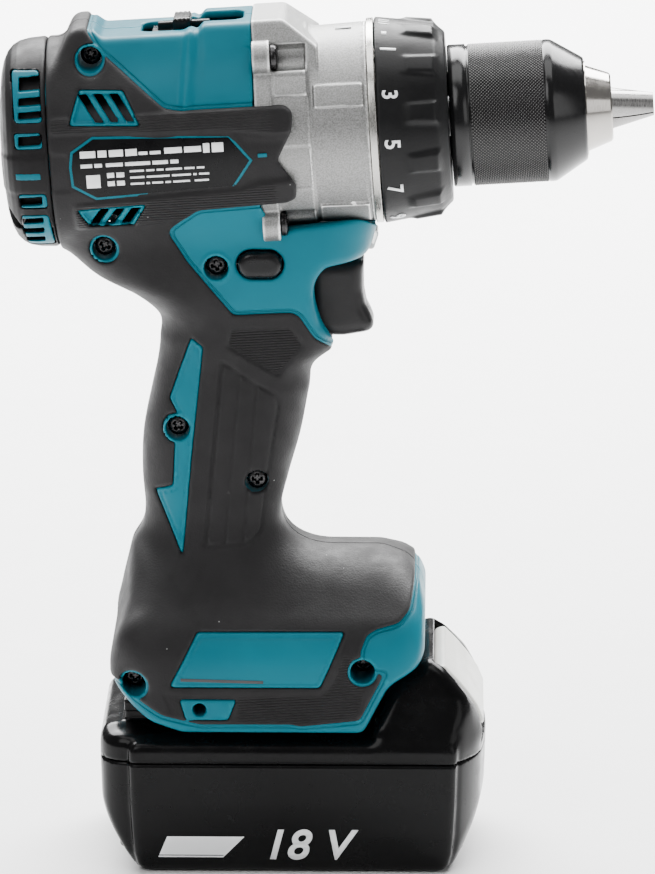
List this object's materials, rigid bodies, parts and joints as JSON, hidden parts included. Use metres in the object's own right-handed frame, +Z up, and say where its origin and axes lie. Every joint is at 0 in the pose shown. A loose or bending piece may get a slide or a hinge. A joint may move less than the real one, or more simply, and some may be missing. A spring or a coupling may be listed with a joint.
{
  "type": "cordless drill driver",
  "caption": "Pistol-grip cordless drill driver with keyless chuck, torque ring, two-speed gearbox, brushless motor and slide-on battery.",
  "frame": {"origin": "middle of the overall length and width, on the flat underside of the battery", "axes": "+X towards the chuck, +Z up, Y across the tool; the viewer of the right side looks along +Y"},
  "size_m": [0.1955, 0.0806, 0.2601],
  "materials": {
    "teal_shell": "fine spark-eroded texture",
    "grip_rubber": "stippled soft overmould",
    "black_nylon": "fine texture, slight sheen",
    "black_gloss": "polished moulding",
    "chuck_black": "black oxide, knurl tips bright",
    "white_button": "fine texture",
    "cast_aluminium": "bead-blasted casting",
    "plated_band": "satin plated",
    "screw_black": "black oxide",
    "bright_steel": "turned and ground",
    "gear_steel": "hobbed, oiled",
    "bearing_steel": "ground",
    "lamination_steel": "stacked laminations",
    "copper": "enamelled copper wire",
    "fan_plastic": "glass-filled nylon",
    "plate_print": "printed film",
    "lens_clear": "clear lens",
    "board_green": "solder mask",
    "cell_wrap": "shrink wrap",
    "nickel": "rolled strip",
    "gauge_grey": "fine texture"
  },
  "bodies": {
    "housing": {"housing_right": "teal_shell", "housing_left": "teal_shell", "grip_right": "grip_rubber", "grip_left": "grip_rubber", "rear_cover": "black_nylon", "rear_cover_screws": "screw_black", "housing_screws": "screw_black", "gear_housing": "cast_aluminium", "gear_housing_screws": "screw_black", "motor_stator": "lamination_steel", "motor_windings": "copper", "motor_bearings": "bearing_steel", "gearbox_plate": "black_nylon", "first_ring_gear": "gear_steel", "third_ring_gear": "gear_steel", "spindle_bearings": "bearing_steel", "clutch_pins": "bright_steel", "clutch_washer": "bright_steel", "clutch_spring": "bright_steel", "index_band": "plated_band", "trigger_switch": "black_nylon", "light_lens": "lens_clear", "controller": "board_green", "terminal_block": "black_nylon", "rating_plate": "plate_print"},
    "rotor": {"rotor_shaft": "gear_steel", "rotor_core": "lamination_steel", "fan": "fan_plastic"},
    "gear_block": {"first_carrier": "gear_steel", "second_planets": "gear_steel", "second_carrier": "gear_steel"},
    "shift_ring": {"shift_ring": "gear_steel"},
    "spindle": {"spindle": "gear_steel", "chuck_body": "bright_steel", "chuck_screw": "screw_black"},
    "chuck_sleeve": {"chuck_sleeve": "chuck_black", "chuck_nut": "gear_steel"},
    "torque_ring": {"torque_ring": "black_nylon"},
    "clutch_nut": {"clutch_nut": "gear_steel"},
    "speed_selector": {"speed_selector": "black_nylon"},
    "trigger": {"trigger": "black_nylon"},
    "reverse_lever": {"reverse_lever": "black_nylon"},
    "battery": {"battery_case": "black_gloss", "battery_cover": "black_gloss", "battery_cells": "cell_wrap", "cell_straps": "nickel", "battery_board": "board_green", "battery_screws": "screw_black"},
    "release_button": {"release_button": "white_button"},
    "gauge_button": {"gauge_button": "gauge_grey"},
    "first_planet_1": {"first_planet_1": "gear_steel"},
    "third_planet_1": {"third_planet_1": "gear_steel"},
    "jaw_1": {"jaw_1": "bright_steel"},
    "first_planet_2": {"first_planet_2": "gear_steel"},
    "third_planet_2": {"third_planet_2": "gear_steel"},
    "jaw_2": {"jaw_2": "bright_steel"},
    "first_planet_3": {"first_planet_3": "gear_steel"},
    "third_planet_3": {"third_planet_3": "gear_steel"},
    "jaw_3": {"jaw_3": "bright_steel"}
  },
  "joints": [
    {"name": "spindle_spin", "type": "hinge", "parent": "housing", "child": "spindle", "pos_m": [0.01303, 0, 0.22594], "axis": [0.9981, 0, 0.061], "continuous": true},
    {"name": "rotor_spin", "type": "hinge", "parent": "housing", "child": "rotor", "pos_m": [0.01303, 0, 0.22594], "axis": [0.9981, 0, 0.061], "continuous": true},
    {"name": "gear_block_spin", "type": "hinge", "parent": "housing", "child": "gear_block", "pos_m": [0.01303, 0, 0.22594], "axis": [0.9981, 0, 0.061], "continuous": true},
    {"name": "torque_ring_turn", "type": "hinge", "parent": "housing", "child": "torque_ring", "pos_m": [0.01303, 0, 0.22594], "axis": [0.9981, 0, 0.061], "range_deg": [-330, 0]},
    {"name": "clutch_nut_slide", "type": "slide", "parent": "torque_ring", "child": "clutch_nut", "axis": [0.9981, 0, 0.061], "range_m": [-0.0046, 0], "deforming": ["clutch_spring"]},
    {"name": "chuck_sleeve_turn", "type": "hinge", "parent": "spindle", "child": "chuck_sleeve", "pos_m": [0.01303, 0, 0.22594], "axis": [0.9981, 0, 0.061], "range_deg": [0, 3600]},
    {"name": "speed_select", "type": "slide", "parent": "housing", "child": "speed_selector", "axis": [0.9981, 0, 0.061], "range_m": [0, 0.006]},
    {"name": "shift_ring_slide", "type": "slide", "parent": "gear_block", "child": "shift_ring", "axis": [0.9981, 0, 0.061], "range_m": [0, 0.0061]},
    {"name": "trigger_pull", "type": "slide", "parent": "housing", "child": "trigger", "axis": [-1, 0, 0], "range_m": [0, 0.0065], "stiffness_N_per_m": 600, "springref_m": -0.004},
    {"name": "reverse_lever_slide", "type": "slide", "parent": "housing", "child": "reverse_lever", "axis": [0, 1, 0], "range_m": [-0.003, 0.003]},
    {"name": "battery_slide", "type": "slide", "parent": "housing", "child": "battery", "axis": [1, 0, 0], "range_m": [0, 0.09]},
    {"name": "release_button_press", "type": "slide", "parent": "battery", "child": "release_button", "axis": [0, 0, -1], "range_m": [0, 0.0045], "stiffness_N_per_m": 600, "springref_m": -0.004},
    {"name": "gauge_button_press", "type": "slide", "parent": "battery", "child": "gauge_button", "axis": [1, 0, 0], "range_m": [0, 0.0006], "stiffness_N_per_m": 500, "springref_m": -0.001},
    {"name": "first_planet_1_spin", "type": "hinge", "parent": "gear_block", "child": "first_planet_1", "pos_m": [-0.0269, 0.0144, 0.2235], "axis": [0.9981, 0, 0.061], "continuous": true},
    {"name": "third_planet_1_spin", "type": "hinge", "parent": "spindle", "child": "third_planet_1", "pos_m": [0.00005, 0.0144, 0.22515], "axis": [0.9981, 0, 0.061], "continuous": true},
    {"name": "jaw_1_slide", "type": "slide", "parent": "spindle", "child": "jaw_1", "axis": [-0.9483, 0, -0.3173], "range_m": [0, 0.0251]},
    {"name": "first_planet_2_spin", "type": "hinge", "parent": "gear_block", "child": "first_planet_2", "pos_m": [-0.02766, -0.0072, 0.23595], "axis": [0.9981, 0, 0.061], "continuous": true},
    {"name": "third_planet_2_spin", "type": "hinge", "parent": "spindle", "child": "third_planet_2", "pos_m": [-0.00071, -0.0072, 0.23759], "axis": [0.9981, 0, 0.061], "continuous": true},
    {"name": "jaw_2_slide", "type": "slide", "parent": "spindle", "child": "jaw_2", "axis": [-0.972, 0.2241, 0.0702], "range_m": [0, 0.0251]},
    {"name": "first_planet_3_spin", "type": "hinge", "parent": "gear_block", "child": "first_planet_3", "pos_m": [-0.02613, -0.0072, 0.21105], "axis": [0.9981, 0, 0.061], "continuous": true},
    {"name": "third_planet_3_spin", "type": "hinge", "parent": "spindle", "child": "third_planet_3", "pos_m": [0.00082, -0.0072, 0.2127], "axis": [0.9981, 0, 0.061], "continuous": true},
    {"name": "jaw_3_slide", "type": "slide", "parent": "spindle", "child": "jaw_3", "axis": [-0.972, -0.2241, 0.0702], "range_m": [0, 0.0251]}
  ],
  "couplings": [
    {"joint": "rotor_spin", "follows": "spindle_spin", "ratio": 11.755},
    {"joint": "gear_block_spin", "follows": "spindle_spin", "ratio": 3.4286},
    {"joint": "shift_ring_slide", "follows": "speed_select", "ratio": 1},
    {"joint": "clutch_nut_slide", "follows": "torque_ring_turn", "m_per_rad": 0.00078},
    {"joint": "first_planet_1_spin", "follows": "spindle_spin", "ratio": -11.657},
    {"joint": "third_planet_1_spin", "follows": "spindle_spin", "ratio": -3.4},
    {"joint": "jaw_1_slide", "follows": "chuck_sleeve_turn", "m_per_rad": 0.000399},
    {"joint": "first_planet_2_spin", "follows": "spindle_spin", "ratio": -11.657},
    {"joint": "third_planet_2_spin", "follows": "spindle_spin", "ratio": -3.4},
    {"joint": "jaw_2_slide", "follows": "chuck_sleeve_turn", "m_per_rad": 0.000399},
    {"joint": "first_planet_3_spin", "follows": "spindle_spin", "ratio": -11.657},
    {"joint": "third_planet_3_spin", "follows": "spindle_spin", "ratio": -3.4},
    {"joint": "jaw_3_slide", "follows": "chuck_sleeve_turn", "m_per_rad": 0.000399}
  ]
}
